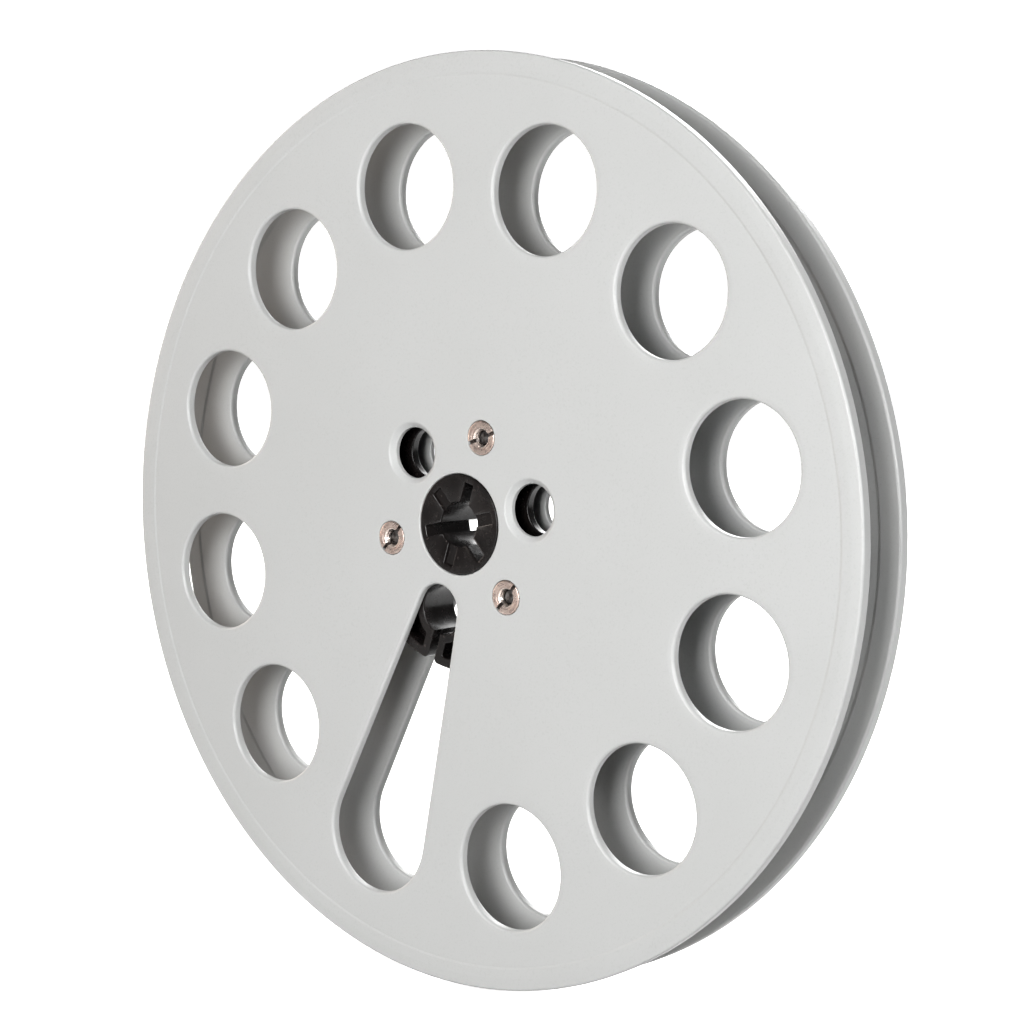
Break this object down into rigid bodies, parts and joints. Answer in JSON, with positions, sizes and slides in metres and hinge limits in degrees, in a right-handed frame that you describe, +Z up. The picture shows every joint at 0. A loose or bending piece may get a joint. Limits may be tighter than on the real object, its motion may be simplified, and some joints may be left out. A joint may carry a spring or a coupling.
{
  "type": "film reel",
  "caption": "Film reel: two round perforated plastic flanges with a threading slot, screwed to a slotted black hub with a spindle bore.",
  "frame": {"origin": "on the spin axis, half way between the two flanges, at the centre of the spindle bore", "axes": "+Y along the spin axis, from the front flange to the back flange; +Z up, with the reel standing on edge; +X to the right seen from the front"},
  "size_m": [0.1778, 0.0152, 0.1778],
  "materials": {
    "flange_plastic": "fine satin grain",
    "hub_plastic": "satin moulded black",
    "nut_metal": "machined, rose tinted",
    "screw_metal": "machined"
  },
  "bodies": {
    "root": {"front_flange": "flange_plastic", "back_flange": "flange_plastic", "hub": "hub_plastic", "barrel_nut_top": "nut_metal", "barrel_nut_left": "nut_metal", "barrel_nut_right": "nut_metal", "screw_top": "screw_metal", "screw_left": "screw_metal", "screw_right": "screw_metal"}
  },
  "joints": []
}
